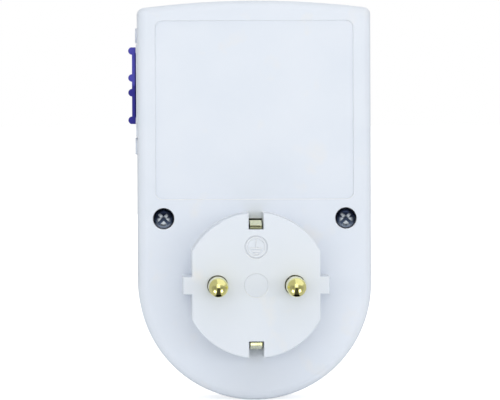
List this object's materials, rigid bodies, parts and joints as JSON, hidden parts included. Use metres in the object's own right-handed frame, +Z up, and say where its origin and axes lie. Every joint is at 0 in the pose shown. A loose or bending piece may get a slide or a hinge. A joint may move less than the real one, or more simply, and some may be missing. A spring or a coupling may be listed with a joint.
{
  "type": "plug-in timer switch",
  "caption": "Mechanical 24-hour plug-in timer switch with round two-pin earthed plug, socket well, tappet dial and side override slider.",
  "frame": {"origin": "centre of the plug's end face, midway between its two pins", "axes": "+Y along the plug pins, into the wall socket; +Z up; +X to the right for someone facing the dial"},
  "size_m": [0.0598, 0.0783, 0.0985],
  "materials": {
    "casing": "satin moulded white plastic",
    "dark_steel": "blued steel",
    "steel": "plain steel",
    "brass": "polished brass",
    "slider_blue": "satin blue plastic",
    "tappet_blue": "satin blue plastic",
    "dial_white": "fine matt plastic",
    "inner_black": "matt black plastic",
    "nylon": "natural nylon",
    "winding": "enamelled copper wire",
    "silver": "silver contact metal",
    "magnet": "sintered ferrite",
    "lead_sleeve": "soft wire insulation"
  },
  "bodies": {
    "housing": {"rear_shell": "casing", "front_shell": "casing", "case_screws": "dark_steel", "plug_pin_live": "brass", "plug_pin_neutral": "brass", "earth_strip_upper": "brass", "earth_strip_lower": "brass", "earth_bridge": "brass", "socket_contact_live": "brass", "socket_contact_neutral": "brass", "neutral_busbar": "brass", "live_busbar": "brass", "load_strap": "brass", "shutter_clip": "steel", "shutter_spring": "steel", "dial_arbor": "steel", "dial_screw": "steel", "mechanism_plate": "inner_black", "plate_screws": "steel", "idler_arbor": "steel", "motor_can": "steel", "motor_cover": "steel", "motor_coil": "winding", "motor_leads": "lead_sleeve", "lever_pin": "steel", "follower_spring": "steel", "fixed_contact_tip": "silver", "detent_spring": "steel"},
    "dial_body": {"dial": "dial_white", "dial_gear": "nylon", "gear_clip": "steel", "dial_cap": "tappet_blue"},
    "idler_body": {"idler_wheel": "nylon"},
    "rotor_body": {"motor_rotor": "magnet", "rotor_pinion": "brass"},
    "lever_body": {"follower_lever": "nylon"},
    "blade_body": {"contact_blade": "brass", "moving_contact_tip": "silver"},
    "slider_body": {"override_slider": "slider_blue"},
    "shutter_body": {"shutter": "inner_black"},
    "tappet_body_1": {"tappets_01": "tappet_blue"},
    "tappet_body_2": {"tappets_02": "tappet_blue"},
    "tappet_body_3": {"tappets_03": "tappet_blue"},
    "tappet_body_4": {"tappets_04": "tappet_blue"},
    "tappet_body_5": {"tappets_05": "tappet_blue"},
    "tappet_body_6": {"tappets_06": "tappet_blue"},
    "tappet_body_7": {"tappets_07": "tappet_blue"},
    "tappet_body_8": {"tappets_08": "tappet_blue"}
  },
  "joints": [
    {"name": "dial_spin", "type": "hinge", "parent": "housing", "child": "dial_body", "pos_m": [0, -0.05, 0.0438], "axis": [0, 1, 0], "continuous": true},
    {"name": "idler_spin", "type": "hinge", "parent": "housing", "child": "idler_body", "pos_m": [-0.0135, -0.042, 0.0438], "axis": [0, 1, 0], "continuous": true},
    {"name": "rotor_spin", "type": "hinge", "parent": "housing", "child": "rotor_body", "pos_m": [-0.00656, -0.032, 0.05207], "axis": [0, 1, 0], "continuous": true},
    {"name": "override_slide", "type": "slide", "parent": "housing", "child": "slider_body", "axis": [0, 0, 1], "range_m": [-0.0028, 0], "deforming": ["detent_spring"]},
    {"name": "lever_rock", "type": "hinge", "parent": "housing", "child": "lever_body", "pos_m": [0.0195, -0.036, 0.0338], "axis": [1, 0, 0], "range_deg": [0, 15.6], "deforming": ["follower_spring"]},
    {"name": "blade_rock", "type": "hinge", "parent": "housing", "child": "blade_body", "pos_m": [0.016, -0.0308, 0.0206], "axis": [-1, 0, 0], "range_deg": [0, 10.1]},
    {"name": "shutter_turn", "type": "hinge", "parent": "housing", "child": "shutter_body", "pos_m": [0, -0.0351, 0], "axis": [0, -1, 0], "range_deg": [0, 40], "stiffness_Nm_per_rad": 0.002, "deforming": ["shutter_spring"]},
    {"name": "tappet_press_1", "type": "slide", "parent": "dial_body", "child": "tappet_body_1", "axis": [0, 1, 0], "range_m": [0, 0.003]},
    {"name": "tappet_press_2", "type": "slide", "parent": "dial_body", "child": "tappet_body_2", "axis": [0, 1, 0], "range_m": [0, 0.003]},
    {"name": "tappet_press_3", "type": "slide", "parent": "dial_body", "child": "tappet_body_3", "axis": [0, 1, 0], "range_m": [0, 0.003]},
    {"name": "tappet_press_4", "type": "slide", "parent": "dial_body", "child": "tappet_body_4", "axis": [0, 1, 0], "range_m": [0, 0.003]},
    {"name": "tappet_press_5", "type": "slide", "parent": "dial_body", "child": "tappet_body_5", "axis": [0, 1, 0], "range_m": [0, 0.003]},
    {"name": "tappet_press_6", "type": "slide", "parent": "dial_body", "child": "tappet_body_6", "axis": [0, 1, 0], "range_m": [0, 0.003]},
    {"name": "tappet_press_7", "type": "slide", "parent": "dial_body", "child": "tappet_body_7", "axis": [0, 1, 0], "range_m": [0, 0.003]},
    {"name": "tappet_press_8", "type": "slide", "parent": "dial_body", "child": "tappet_body_8", "axis": [0, 1, 0], "range_m": [0, 0.003]}
  ],
  "couplings": [
    {"joint": "idler_spin", "follows": "dial_spin", "ratio": -4},
    {"joint": "rotor_spin", "follows": "dial_spin", "ratio": 12},
    {"joint": "lever_rock", "follows": "override_slide", "rad_per_m": -96.616},
    {"joint": "blade_rock", "follows": "override_slide", "rad_per_m": -62.333}
  ]
}
